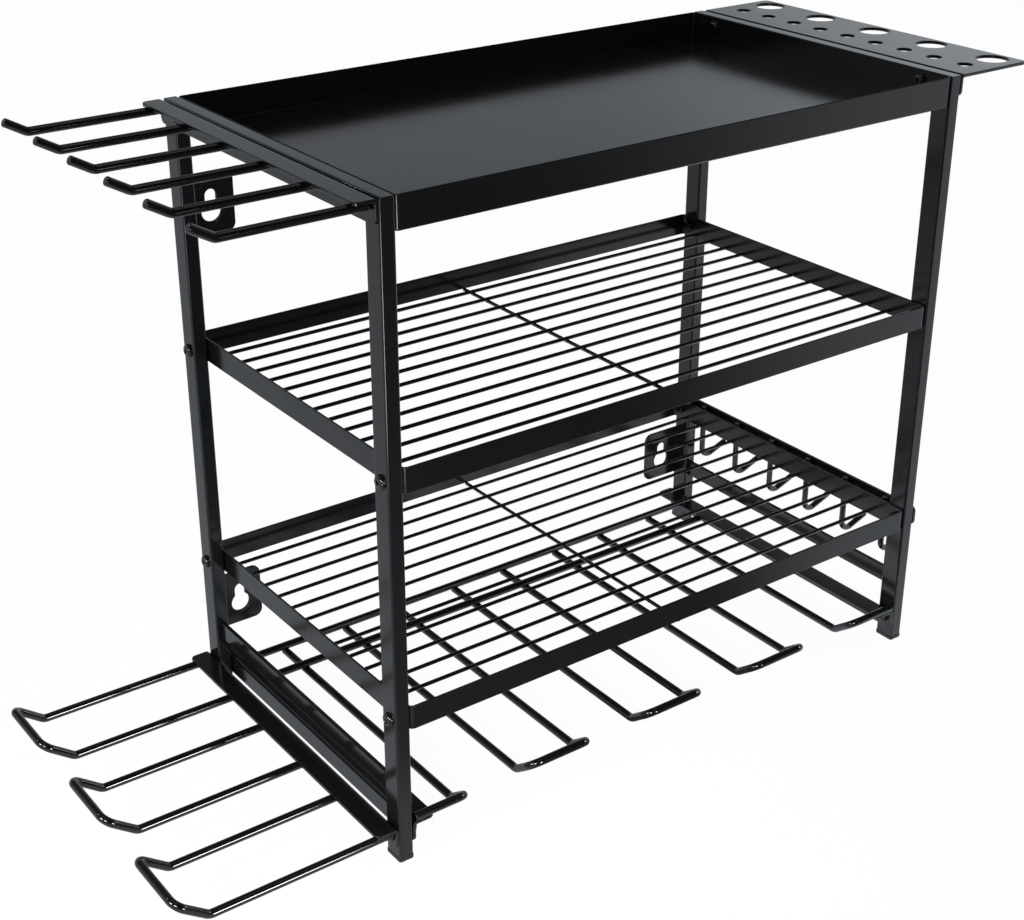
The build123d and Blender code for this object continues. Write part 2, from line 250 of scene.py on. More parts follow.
frame_coat = coating(
    "frame_coat",
    dark=(0.0018, 0.0019, 0.0021),
    pale=(0.0048, 0.0049, 0.0053),
    roughness=0.13,
    index=1.5,
    peel=0.010 * mm,
    grain_scale=900.0,
)
for side_name in ("left", "right"):
    leg_low, leg_high = np.array(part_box(f"{side_name}_front_leg"))
    rear_low, rear_high = np.array(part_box(f"{side_name}_rear_leg"))
    tube_width, tube_depth = (leg_high - leg_low)[:2]
    middle_x = (leg_low[0] + leg_high[0]) / 2
    front_y = (leg_low[1] + leg_high[1]) / 2
    rear_y = (rear_low[1] + rear_high[1]) / 2
    rail_z = leg_high[2] - tube_depth / 2
    centre_line = [
        (middle_x, front_y, leg_low[2]),
        (middle_x, front_y, rail_z),
        (middle_x, rear_y, rail_z),
        (middle_x, rear_y, rear_low[2]),
    ]
    section, _ = rounded_rectangle(tube_width, tube_depth, tube_corner)
    add_piece(
        f"{side_name}_side_frame",
        [carry(section, centre_line, (1, 0, 0))],
        frame_coat,
        "frame_coat",
        f"{side_name}_front_leg",
        f"{side_name}_rear_leg",
        f"{side_name}_top_rail",
    )

# Cross bars: flat steel bars low between the front and rear legs, welded to the middle of the tubes and
# coated with the frame. Their long edges are eased.
bar_ease = 0.6 * mm
for side_name in ("left", "right"):
    bar_low, bar_high = np.array(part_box(f"{side_name}_cross_bar"))
    bar_size = bar_high - bar_low
    bar_section, _ = rounded_rectangle(bar_size[0], bar_size[2], bar_ease, steps=4)
    bar_x, _, bar_z = (bar_low + bar_high) / 2
    bar_line = [(bar_x, bar_low[1], bar_z), (bar_x, bar_high[1], bar_z)]
    cross_bar = carry(bar_section, bar_line, (1, 0, 0))
    node = f"{side_name}_cross_bar"
    add_piece(f"{node}_flat", [cross_bar], frame_coat, "frame_coat", node)

# Feet: caps moulded in satin black plastic, plugged into the open ends of the legs. The edge that meets
# the floor is rounded, the upper edge only eased.
foot_plastic = coating(
    "foot_plastic",
    dark=(0.002, 0.002, 0.0021),
    pale=(0.005, 0.005, 0.0053),
    roughness=0.18,
    index=1.5,
    peel=0.01 * mm,
    grain_scale=1600.0,
)
foot_height = 3.0 * mm
foot_overhang = 0.4 * mm
foot_round = 0.8 * mm
foot_ease = 0.5 * mm


def round_over(radius, steps=4):
    """Insets and drops of a quarter round, from its level end, inset by the radius, to its upright end."""
    angle = np.linspace(0, np.pi / 2, steps)
    return radius * (1 - np.sin(angle)), radius * (1 - np.cos(angle))


def stacked(loop, centre, insets, levels):
    """Rings of one loop at several levels, each drawn in along the loop's outward directions."""
    points, outward = loop
    flat = np.asarray(centre)[:2] + points - np.asarray(insets)[:, None, None] * outward
    rise = np.broadcast_to(np.asarray(levels)[:, None, None], flat.shape[:2] + (1,))
    return np.concatenate([flat, rise], 2)


for corner_name in ("left_front", "left_rear", "right_front", "right_rear"):
    node = f"{corner_name}_foot"
    foot_low, foot_high = np.array(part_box(node))
    foot_size = foot_high - foot_low
    outline = rounded_rectangle(foot_size[0], foot_size[1], tube_corner + foot_overhang)
    low_inset, low_drop = round_over(foot_round)
    top_inset, top_drop = round_over(foot_ease)
    insets = np.concatenate([low_inset, top_inset[::-1]])
    levels = foot_low[2] + np.concatenate([low_drop, (foot_height - top_drop)[::-1]])
    cap = shell(stacked(outline, (foot_low + foot_high) / 2, insets, levels))
    add_piece(f"{node}_cap", [cap], foot_plastic, "foot_plastic", node)

# Wall tabs: steel plates welded inside the rear legs, flush with the wall, each with a keyhole whose
# round end lets a screw head through and whose slot takes the screw's neck.
sheet_ease = 0.35 * mm
hole_ease = 0.5 * mm
tab_corner = 6.0 * mm
keyhole_radius = 7.0 * mm
slot_radius = 4.0 * mm
slot_rise = 10.7 * mm
keyhole_inset = 16.4 * mm
keyhole_height = 15.8 * mm
same_spot = 1e-9


def circle(centre, radius, steps=48):
    """Loop round a hole and the directions from its centre into the metal around it."""
    angle = np.linspace(0, 2 * np.pi, steps, endpoint=False)
    outward = np.stack([np.cos(angle), np.sin(angle)], 1)
    return np.asarray(centre) + radius * outward, outward


def keyhole(centre, wide_steps=40, narrow_steps=20):
    """Loop of a keyhole: the round end's arc from slot side to slot side, then the slot's half circle."""
    meet = np.arccos(slot_radius / keyhole_radius)
    wide = np.linspace(np.pi - meet, 2 * np.pi + meet, wide_steps)
    narrow = np.linspace(0, np.pi, narrow_steps)
    outward = np.vstack([np.stack([np.cos(a), np.sin(a)], 1) for a in (wide, narrow)])
    radius = np.repeat([keyhole_radius, slot_radius], [wide_steps, narrow_steps])[:, None]
    lift = np.repeat([0, slot_rise], [wide_steps, narrow_steps])[:, None] * (0, 1)
    return np.asarray(centre) + radius * outward + lift, outward


def within(spots, loop):
    """True where a ray from the spot along +X crosses the closed loop an odd number of times."""
    ahead = np.roll(loop, -1, 0)
    spans = (loop[:, 1] > spots[:, None, 1]) != (ahead[:, 1] > spots[:, None, 1])
    rise = np.where(ahead[:, 1] == loop[:, 1], 1, ahead[:, 1] - loop[:, 1])
    cross = loop[:, 0] + (spots[:, None, 1] - loop[:, 1]) * (ahead[:, 0] - loop[:, 0]) / rise
    return np.sum(spans & (spots[:, None, 0] < cross), 1) % 2 == 1


def sheet_metal(outline, holes, creases, thickness, place):
    """Sheet of even thickness, cut to an outline with holes and then set or folded in place.

    The cut edge's profile, two quarter rounds and a straight, is carried round every loop. Triangles
    between the loops fill both faces, with an edge along each crease, a line of constant first
    coordinate. place(across, along, out) takes the flat sheet into the row frame.
    """
    loops = [(outline[0], -outline[1], sheet_ease), *((*hole, hole_ease) for hole in holes)]
    points, faces, top, bottom, borders = [], [], [], [], []
    start = 0
    for loop, into, ease in loops:
        inset, drop = round_over(ease)
        insets = np.concatenate([inset, inset[::-1]])[:, None, None]
        out = np.concatenate([thickness / 2 - drop, (drop - thickness / 2)[::-1]])
        flat = loop + insets * into
        index = start + np.arange(flat.shape[0] * flat.shape[1]).reshape(flat.shape[:2])
        around = [index[:-1], np.roll(index[:-1], -1, 1), np.roll(index[1:], -1, 1), index[1:]]
        faces += np.stack(around, -1).reshape(-1, 4).tolist()
        points.append(np.concatenate([flat, np.broadcast_to(out[:, None, None], flat[..., :1].shape)], 2))
        top.append(index[0])
        bottom.append(index[-1])
        borders.append(flat[0])
        start += index.size
    spots = np.vstack(borders)
    ends = np.cumsum([0] + [len(border) for border in borders])
    edges = [(a + i, a + (i + 1) % (b - a)) for a, b in zip(ends, ends[1:]) for i in range(b - a)]
    for crease in creases:
        on_crease = np.abs(spots[: ends[1], 0] - crease) < same_spot
        edges.append(tuple(int(i) for i in np.flatnonzero(on_crease)))
    filled = delaunay_2d_cdt([tuple(spot) for spot in spots], edges, [], 0, same_spot, True)
    _, _, filled_faces, sources, _, _ = filled
    triangles = np.array([[sources[i][0] for i in face] for face in filled_faces])
    centres = spots[triangles].mean(1)
    keep = within(centres, borders[0])
    for hole in borders[1:]:
        keep &= ~within(centres, hole)
    faces += np.concatenate(top)[triangles[keep]].tolist()
    faces += np.concatenate(bottom)[triangles[keep][:, ::-1]].tolist()
    flat_points = np.vstack([rows.reshape(-1, 3) for rows in points])
    return place(*flat_points.T), faces


for corner_name in ("left_lower", "left_upper", "right_lower", "right_upper"):
    node = f"{corner_name}_wall_tab"
    tab_low, tab_high = np.array(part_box(node))
    tab_size = tab_high - tab_low
    free = 1 if corner_name.startswith("left") else -1
    welded_x = tab_low[0] if free > 0 else tab_high[0]
    tab_thickness = tab_size[1]
    tab_middle = np.array([tab_size[0], tab_size[2]]) / 2
    # The corners at the weld are square and those at the free edge round. A square corner keeps one point.
    rounded, outward = rounded_rectangle(tab_size[0], tab_size[2], tab_corner, steps=8)
    square = np.sign(rounded) * tab_middle
    points = np.where(rounded[:, :1] < 0, square, rounded) + tab_middle
    distinct = np.r_[True, np.abs(np.diff(points, axis=0)).sum(1) > same_spot]
    tab_outline = (points[distinct], outward[distinct])

    def stand_on_wall(across, along, out):
        """Across runs from the leg to the free edge, along runs up, out runs from the wall's side."""
        level = tab_low[2] + along
        return np.stack([welded_x + free * across, tab_low[1] + tab_thickness / 2 - out, level], 1)

    hole = keyhole((keyhole_inset, keyhole_height))
    tab = sheet_metal(tab_outline, [hole], [], tab_thickness, stand_on_wall)
    add_piece(f"{node}_plate", [tab], frame_coat, "frame_coat", node)

# Top tray: a pan folded from thin steel sheet, with rounded corners and a rounded foot to its walls,
# bolted between the top rails.
tray_low, tray_high = np.array(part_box("top_tray"))
tray_size = tray_high - tray_low
tray_sheet = 1.0 * mm
tray_round = 1.3 * mm
tray_corner = 2.5 * mm
lip_inset, lip_drop = round_over(tray_sheet / 2)
outer_inset, outer_rise = round_over(tray_round, steps=5)
inner_inset, inner_rise = round_over(tray_round - tray_sheet)
tray_insets = np.concatenate(
    [outer_inset, lip_inset[::-1], tray_sheet - lip_inset[:-1], (tray_sheet + inner_inset)[::-1]]
)
lip_level = tray_size[2] - lip_drop
tray_levels = tray_low[2] + np.concatenate(
    [outer_rise, lip_level[::-1], lip_level[:-1], (tray_sheet + inner_rise)[::-1]]
)
tray_outline = rounded_rectangle(tray_size[0], tray_size[1], tray_corner, steps=8)
tray_rings = stacked(tray_outline, (tray_low + tray_high) / 2, tray_insets, tray_levels)
add_piece("top_tray_pan", [shell(tray_rings)], frame_coat, "frame_coat", "top_tray")

# Wire shelves: a rim bent from steel strip, thin wires welded across the width inside it and one wire
# under them along the depth. Rim and wires are coated together and bolted between the legs.
rod_coat = coating(
    "rod_coat",
    dark=(0.0014, 0.0014, 0.0015),
    pale=(0.004, 0.004, 0.0043),
    roughness=0.05,
    index=1.62,
    peel=0.001 * mm,
    grain_scale=1100.0,
)
strip_thickness = 1.5 * mm
strip_ease = 0.35 * mm
rim_corner = 4.0 * mm
wire_ends = (0.3 * mm, 0.3 * mm)
wire_sides = 16
wire_count = 13


def rod(corners, radius, bend, ends, around=24, steps=17):
    """Round rod: a circle carried along straight runs joined by arcs of the bend radius.

    An arc starts bend * tan(turn / 2) before its corner and turns about a centre one bend radius to the
    inside. The circle's axes follow the path without twisting. Each end is a quarter round of its own
    radius, given in ends, closed with a flat face.
    """
    corners = np.asarray(corners, float)
    run = np.diff(corners, axis=0)
    run /= np.linalg.norm(run, axis=1)[:, None]
    line, heading = [corners[:1]], [run[:1]]
    for spot, before, after in zip(corners[1:-1], run, run[1:]):
        turn = np.arccos(np.clip(before @ after, -1, 1))
        inside = after - before * np.cos(turn)
        inside /= np.linalg.norm(inside)
        angle = np.linspace(0, turn, steps)[:, None]
        begin = spot - before * bend * np.tan(turn / 2)
        line.append(begin + bend * (before * np.sin(angle) + inside * (1 - np.cos(angle))))
        heading.append(before * np.cos(angle) + inside * np.sin(angle))
    line.append(corners[-1:])
    heading.append(run[-1:])
    (first_inset, first_back), (last_inset, last_back) = (round_over(end, steps=5) for end in ends)
    line[0] = line[0] + first_back[:, None] * run[0]
    heading[0] = np.repeat(heading[0], len(first_back), 0)
    line[-1] = line[-1] - last_back[::-1, None] * run[-1]
    heading[-1] = np.repeat(heading[-1], len(last_back), 0)
    line, heading = np.vstack(line), np.vstack(heading)
    size = np.full(len(line), radius)
    size[: len(first_inset)] -= first_inset
    size[-len(last_inset):] -= last_inset[::-1]
    axis = np.cross(heading[0], np.eye(3)[np.argmin(np.abs(heading[0]))])
    axes = []
    for direction in heading:
        axis = axis - direction * (axis @ direction)
        axis /= np.linalg.norm(axis)
        axes.append(axis)
    axes = np.array(axes)
    angle = np.linspace(0, 2 * np.pi, around, endpoint=False)[None, :, None]
    spread = np.cos(angle) * axes[:, None] + np.sin(angle) * np.cross(heading, axes)[:, None]
    return shell(line[:, None] + size[:, None, None] * spread)


for shelf_name in ("middle", "lower"):
    rim_low, rim_high = np.array(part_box(f"{shelf_name}_shelf_rim"))
    rim_size = rim_high - rim_low
    edge_inset, edge_drop = round_over(strip_ease)
    rim_insets = np.concatenate([edge_inset, edge_inset[::-1]])
    rim_insets = np.concatenate([rim_insets, strip_thickness - rim_insets])
    rise = np.concatenate([edge_drop, (rim_size[2] - edge_drop)[::-1]])
    rim_levels = rim_low[2] + np.concatenate([rise, rise[::-1]])
    rim_outline = rounded_rectangle(rim_size[0], rim_size[1], rim_corner, steps=8)
    rim_rings = stacked(rim_outline, (rim_low + rim_high) / 2, rim_insets, rim_levels)
    add_piece(
        f"{shelf_name}_shelf_rim_strip",
        [shell(rim_rings, joined=True)],
        frame_coat,
        "frame_coat",
        f"{shelf_name}_shelf_rim",
    )
    wires_low, wires_high = np.array(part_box(f"{shelf_name}_shelf_wires"))
    wire_radius = (wires_high[2] - wires_low[2]) / 2
    wire_z = wires_low[2] + wire_radius
    wire_rows = np.linspace(wires_low[1] + wire_radius, wires_high[1] - wire_radius, wire_count)
    wires = []
    for y in wire_rows:
        wire_line = [(wires_low[0], y, wire_z), (wires_high[0], y, wire_z)]
        wires.append(rod(wire_line, wire_radius, 0, wire_ends, wire_sides))
    add_piece(f"{shelf_name}_shelf_wire_set", wires, rod_coat, "rod_coat", f"{shelf_name}_shelf_wires")
    node = f"{shelf_name}_shelf_cross_wire"
    under_low, under_high = np.array(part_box(node))
    under_x, _, under_z = (under_low + under_high) / 2
    under_line = [(under_x, under_low[1], under_z), (under_x, under_high[1], under_z)]
    under_wire = rod(under_line, wire_radius, 0, wire_ends, wire_sides)
    add_piece(f"{shelf_name}_shelf_under_wire", [under_wire], rod_coat, "rod_coat", node)

# Bottom drill rack: two angles folded from steel sheet, bolted inside the legs, carry two cross bars and
# five raised rod loops. Drills hang by their bodies between the loops. The rods are welded under.
sheet = 2.2 * mm
fold_radius = 1.0 * mm
sheet_corner = 4.0 * mm
rod_radius = 2.75 * mm
rod_bend = 7.0 * mm
rod_ease = 0.4 * mm
rod_ends = (rod_ease, rod_ease)
crease_count = 9
corner_steps = 7


def angle_sheet(low, high, side, holes):
    """Sheet folded to a right angle: a level plate and a flange down along the face that it is fixed to.

    The flat blank is measured across from the plate's free edge. It stays level as far as the fold, goes
    round a quarter turn about an axis under the plate, and then runs straight down the flange.
    """
    face = low[0] if side > 0 else high[0]
    reach = high[0] - low[0]
    flange = high[2] - low[2]
    turn_out = sheet + fold_radius
    middle_radius = fold_radius + sheet / 2
    plate = reach - turn_out
    curve = middle_radius * np.pi / 2
    blank = plate + curve + flange - turn_out
    creases = plate + curve * np.linspace(0, 1, crease_count)

    def place(across, along, out):
        angle = np.clip((across - plate) / middle_radius, 0, np.pi / 2)
        radius = middle_radius + out
        off_face = turn_out - radius * np.sin(angle) + np.maximum(plate - across, 0)
        drop = turn_out - radius * np.cos(angle) + np.maximum(across - plate - curve, 0)
        return np.stack([face + side * off_face, along, high[2] - drop], 1)

    depth = high[1] - low[1]
    middle_y = (low[1] + high[1]) / 2
    corners, outward = rounded_rectangle(blank, depth, sheet_corner, corner_steps)
    corners = corners + (blank / 2, middle_y)
    near = np.stack([creases, np.full(crease_count, low[1])], 1)
    far = np.stack([creases[::-1], np.full(crease_count, high[1])], 1)
    runs = [corner_steps, 3 * corner_steps]
    first, middle, last = np.split(corners, runs)
    points = np.vstack([first, far, middle, near, last])
    sides = np.repeat([[0, 1]], crease_count, 0)
    first, middle, last = np.split(outward, runs)
    directions = np.vstack([first, sides, middle, -sides, last])
    ports = [circle((reach - off, y), radius) for off, y, radius in holes]
    return sheet_metal((points, directions), ports, creases, sheet, place)


for side_name, side in (("left", 1), ("right", -1)):
    node = f"drill_rack_{side_name}_angle"
    low, high = np.array(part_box(node))
    add_piece(f"{node}_sheet", [angle_sheet(low, high, side, [])], frame_coat, "frame_coat", node)

for end_name in ("rear", "front"):
    node = f"drill_rack_{end_name}_bar"
    low, high = np.array(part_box(node))
    _, bar_y, bar_z = (low + high) / 2
    bar = rod([(low[0], bar_y, bar_z), (high[0], bar_y, bar_z)], rod_radius, 0, rod_ends)
    add_piece(f"{node}_rod", [bar], rod_coat, "rod_coat", node)

drill_loop_count = 5
drill_front = 1.5 * mm
drill_rise_start = 19.0 * mm
for number in range(1, drill_loop_count + 1):
    node = f"drill_loop_{number}"
    low, high = np.array(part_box(node))
    back_y = high[1]
    tip_y = low[1] + rod_radius
    rack_front = tip_y - drill_front
    rise_y = rack_front + drill_rise_start
    level = low[2] + rod_radius
    tip_z = high[2] - rod_radius
    left_x = low[0] + rod_radius
    right_x = high[0] - rod_radius
    if number == 1:
        corners = [(low[0], tip_y, tip_z)]
    else:
        corners = [(left_x, back_y, level), (left_x, rise_y, level), (left_x, tip_y, tip_z)]
    if number == drill_loop_count:
        corners += [(high[0], tip_y, tip_z)]
    else:
        corners += [(right_x, tip_y, tip_z), (right_x, rise_y, level), (right_x, back_y, level)]
    loop = rod(corners, rod_radius, rod_bend, rod_ends)
    add_piece(f"{node}_rod", [loop], rod_coat, "rod_coat", node)

# Side rack: an angle on the outside of the left legs with three rod loops whose far ends are bent up, so
# that tools hung in them or between them cannot slide off.
side_low, side_high = np.array(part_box("side_rack_angle"))
side_sheet = angle_sheet(side_low, side_high, -1, [])
add_piece("side_rack_angle_sheet", [side_sheet], frame_coat, "frame_coat", "side_rack_angle")

side_loop_count = 3
side_tip_out = 20.4 * mm
for number in range(1, side_loop_count + 1):
    node = f"side_loop_{number}"
    low, high = np.array(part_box(node))
    root_x = high[0]
    tip_x = low[0] + rod_radius
    bend_x = tip_x + side_tip_out
    level = low[2] + rod_radius
    tip_z = high[2] - rod_radius
    near_y = low[1] + rod_radius
    far_y = high[1] - rod_radius
    corners = [
        (root_x, near_y, level),
        (bend_x, near_y, level),
        (tip_x, near_y, tip_z),
        (tip_x, far_y, tip_z),
        (bend_x, far_y, level),
        (root_x, far_y, level),
    ]
    loop = rod(corners, rod_radius, rod_bend, rod_ends)
    add_piece(f"{node}_rod", [loop], rod_coat, "rod_coat", node)

# Plier hooks: a narrow angle on the left top rail with six straight rods welded under it, each turned up
# at the tip and rounded there.
hook_low, hook_high = np.array(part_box("hook_rack_angle"))
hook_sheet = angle_sheet(hook_low, hook_high, -1, [])
add_piece("hook_rack_angle_sheet", [hook_sheet], frame_coat, "frame_coat", "hook_rack_angle")

plier_hook_count = 6
hook_tip_out = 14.0 * mm
hook_tip_up = 8.0 * mm
hook_round = 1.1 * mm
for number in range(1, plier_hook_count + 1):
    node = f"plier_hook_{number}"
    low, high = np.array(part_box(node))
    middle_y = (low[1] + high[1]) / 2
    level = low[2] + rod_radius
    tip_length = np.hypot(hook_tip_out, hook_tip_up)
    tip_x = low[0] + rod_radius * hook_tip_up / tip_length
    bend_x = tip_x + hook_tip_out
    corners = [
        (high[0], middle_y, level),
        (bend_x, middle_y, level),
        (tip_x, middle_y, level + hook_tip_up),
    ]
    hook = rod(corners, rod_radius, rod_bend, (rod_ease, hook_round))
    add_piece(f"{node}_rod", [hook], rod_coat, "rod_coat", node)

# Screwdriver plate: a wide angle on the right top rail, punched with a row of small ports and a row of
# large ones for screwdriver shanks.
plate_low, plate_high = np.array(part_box("screwdriver_plate"))
port_edge = 18.2 * mm
port_count = 9
small_port_out = 24.0 * mm
small_port_radius = 5.2 * mm
large_port_out = 51.2 * mm
large_port_radius = 10.8 * mm
port_rows = np.linspace(plate_low[1] + port_edge, plate_high[1] - port_edge, port_count)
ports = [(small_port_out, y, small_port_radius) for y in port_rows]
ports += [(large_port_out, y, large_port_radius) for y in port_rows[::2]]
plate_sheet = angle_sheet(plate_low, plate_high, 1, ports)
add_piece("screwdriver_plate_sheet", [plate_sheet], frame_coat, "frame_coat", "screwdriver_plate")

# Hook strip: a flat bar on the outside of the right legs, held by the lower shelf's bolts, with six
# short rods welded behind it that bend out under it and up.
strip_low, strip_high = np.array(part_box("hook_strip"))
strip_size = strip_high - strip_low
strip_loop = rounded_rectangle(strip_size[1], strip_size[2], sheet_corner, corner_steps)
strip_middle = (strip_low + strip_high) / 2


def stand_on_side(across, along, out):
    """Across runs along the depth, along runs up, out runs away from the legs."""
    return np.stack([strip_middle[0] + out, strip_middle[1] + across, strip_middle[2] + along], 1)


strip_plate = sheet_metal(strip_loop, [], [], strip_size[0], stand_on_side)
add_piece("hook_strip_plate", [strip_plate], frame_coat, "frame_coat", "hook_strip")

strip_hook_count = 6
strip_rod_radius = 2.25 * mm
strip_weld = 14.0 * mm
strip_hook_drop = 33.6 * mm
strip_tip_out = 23.0 * mm
strip_tip_up = 9.6 * mm
strip_round = 0.9 * mm
for number in range(1, strip_hook_count + 1):
    node = f"strip_hook_{number}"
    low, high = np.array(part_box(node))
    middle_y = (low[1] + high[1]) / 2
    back_x = low[0] + strip_rod_radius
    tip_out = strip_low[0] + strip_tip_out - back_x
    elbow_z = high[2] - strip_weld - strip_hook_drop
    corners = [
        (back_x, middle_y, high[2]),
        (back_x, middle_y, elbow_z),
        (back_x + tip_out, middle_y, elbow_z + strip_tip_up),
    ]
    hook = rod(corners, strip_rod_radius, rod_bend, (rod_ease, strip_round))
    add_piece(f"{node}_rod", [hook], rod_coat, "rod_coat", node)

# Fixings: black button-head bolts with a hexagon socket, and plain hexagon nuts on their ends. They hold
# the tray, the shelves and the racks to the tubes.
fixing_coat = coating(
    "fixing_coat",
    dark=(0.0016, 0.0016, 0.0017),
    pale=(0.005, 0.005, 0.0053),
    roughness=0.05,
    index=1.62,
    peel=0.002 * mm,
    grain_scale=2000.0,
)
head_radius = 4.5 * mm
head_height = 2.6 * mm
head_round = 2.08 * mm
head_ease = 0.1 * mm
socket_reach = 1.25 * mm
socket_depth = 1.3 * mm
socket_edge = 0.25 * mm
socket_draft = 0.05 * mm
socket_mix = 0.3
shank_radius = 2.0 * mm
shank_ends = (0.1 * mm, 0.35 * mm)
thread_end = 1.0 * mm
nut_height = 3.2 * mm
nut_reach = 3.5 * mm
nut_face = 3.2 * mm
nut_chamfer = 0.45 * mm
nut_mix = 0.15
nut_bore = 2.1 * mm
nut_mouth = 2.4 * mm
nut_mouth_depth = 0.3 * mm
turn_steps = 48


def turned(radii, heights, hexagon):
    """Rings about the Z axis at the given radii and heights.

    Where hexagon is 1 the radius is the reach across a flat, divided by the cosine of the angle to that
    flat's middle; where it is 0 the ring is a circle; between them it is a mix.
    """
    angle = np.linspace(0, 2 * np.pi, turn_steps, endpoint=False)
    flat = (angle + np.pi / 6) % (np.pi / 3) - np.pi / 6
    grow = 1 + np.asarray(hexagon)[:, None] * (1 / np.cos(flat) - 1)
    reach = np.asarray(radii)[:, None] * grow
    rise = np.broadcast_to(np.asarray(heights)[:, None], reach.shape)
    return np.stack([reach * np.cos(angle), reach * np.sin(angle), rise], 2)


def along_x(surface, spot, side):
    """Turn a surface made about Z so that its Z axis points along X to the given side, at the spot."""
    points, faces = surface
    turned_points = [spot[0] + side * points[:, 2], spot[1] + points[:, 0], spot[2] + points[:, 1]]
    return np.stack(turned_points, 1), faces


round_inset, round_drop = round_over(head_round, steps=7)
bolt_radii = np.r_[head_radius - head_ease, head_radius, head_radius - round_inset[::-1]]
bolt_radii = np.r_[bolt_radii, socket_reach + socket_edge, socket_reach, socket_reach - socket_draft]
bolt_heights = np.r_[0, head_ease, head_height - round_drop[::-1], head_height]
bolt_heights = np.r_[bolt_heights, head_height - socket_edge, head_height - socket_depth]
bolt_hexagon = np.r_[np.zeros(2 + len(round_inset)), socket_mix, 1, 1]
bolt_head = shell(turned(bolt_radii, bolt_heights, bolt_hexagon))

nut_radii = [nut_bore, nut_bore, nut_mouth, nut_face, nut_reach, nut_reach, nut_face, nut_mouth]
nut_heights = [nut_mouth_depth, nut_height - nut_mouth_depth, nut_height, nut_height]
nut_heights += [nut_height - nut_chamfer, nut_chamfer, 0, 0]
nut_hexagon = [0, 0, 0, nut_mix, 1, 1, nut_mix, 0]
nut_body = shell(turned(nut_radii, nut_heights, nut_hexagon), joined=True)

for group in ("tray", "middle_shelf", "lower_shelf", "drill_rack"):
    bolts_low, bolts_high = np.array(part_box(f"{group}_bolts"))
    nuts_low, nuts_high = np.array(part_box(f"{group}_nuts"))
    level = (bolts_low[2] + bolts_high[2]) / 2
    rows = (bolts_low[1] + head_radius, bolts_high[1] - head_radius)
    clamped = sheet if group == "drill_rack" else strip_thickness
    heads, nuts = [], []
    for side in (-1, 1):
        if group == "tray":
            head_x = side * (tray_high[0] - tray_sheet)
            head_side = -side
            nut_x = nuts_high[0] - nut_height if side > 0 else nuts_low[0] + nut_height
            end_x = bolts_high[0] if side > 0 else bolts_low[0]
        else:
            head_x = bolts_high[0] - head_height if side > 0 else bolts_low[0] + head_height
            head_side = side
            nut_x = side * (tray_high[0] - clamped)
            end_x = nut_x - side * (nut_height + thread_end)
        for y in rows:
            heads.append(along_x(bolt_head, (head_x, y, level), head_side))
            shank = [(head_x, y, level), (end_x, y, level)]
            heads.append(rod(shank, shank_radius, 0, shank_ends))
            nuts.append(along_x(nut_body, (nut_x, y, level), -head_side))
    add_piece(f"{group}_bolt_set", heads, fixing_coat, "fixings", f"{group}_bolts")
    add_piece(f"{group}_nut_set", nuts, fixing_coat, "fixings", f"{group}_nuts")

# Floor: a pale paper sweep under the organizer. The camera sees it nearly white with the soft shadow kept.
# In reflections its tone is painted light and shade: pale at the back, brighter to the right and near the
# middle, and painted dark ahead.
floor_size = 12.0
floor_z = cad_low[2]
floor_middle = (0.0, -0.125, floor_z)
floor_white_share = 0.95
paper_grey = (0.86, 0.86, 0.86, 1)
plain_black = (0, 0, 0, 1)
plain_white = (1, 1, 1, 1)
cool_white = (0.88, 0.94, 1.0, 1)
floor_mesh = bpy.data.meshes.new("floor")
half = floor_size / 2
floor_mesh.from_pydata(
    [(-half, -half, floor_z), (half, -half, floor_z), (half, half, floor_z), (-half, half, floor_z)],
    [],
    [(0, 1, 2, 3)],
)
floor_material = bpy.data.materials.new("floor_paper")
floor_material.use_nodes = True
floor_nodes = Nodes(floor_material.node_tree)


def ray_kinds(nodes):
    """1 for camera rays and 1 for glossy or transmission rays, else 0."""
    camera = nodes.add("ShaderNodeLightPath", {}, {}, "Is Camera Ray")
    glossy = nodes.add("ShaderNodeLightPath", {}, {}, "Is Glossy Ray")
    through = nodes.add("ShaderNodeLightPath", {}, {}, "Is Transmission Ray")
    return camera, glossy + through


def smooth_step(nodes, value, start, stop, first, last):
    """Goes smoothly from first to last while the value goes from start to stop."""
    span = {"From Min": start, "From Max": stop, "To Min": first, "To Max": last}
    return nodes.add("ShaderNodeMapRange", {"interpolation_type": "SMOOTHSTEP"}, {"Value": value, **span})


seen_floor, mirrored_floor = ray_kinds(floor_nodes)
floor_place = floor_nodes.add("ShaderNodeTexCoord", {}, {}, "Object")
from_middle = floor_nodes.add(
    "ShaderNodeVectorMath", {"operation": "SUBTRACT"}, {0: floor_place, 1: floor_middle}
)
outward = floor_nodes.add("ShaderNodeVectorMath", {"operation": "NORMALIZE"}, {0: from_middle})
ahead = -1 * floor_nodes.add("ShaderNodeSeparateXYZ", {}, {0: outward}, "Y")
distance = floor_nodes.add("ShaderNodeVectorMath", {"operation": "LENGTH"}, {0: from_middle}, "Value")
beside = floor_nodes.add("ShaderNodeSeparateXYZ", {}, {0: outward}, "X")
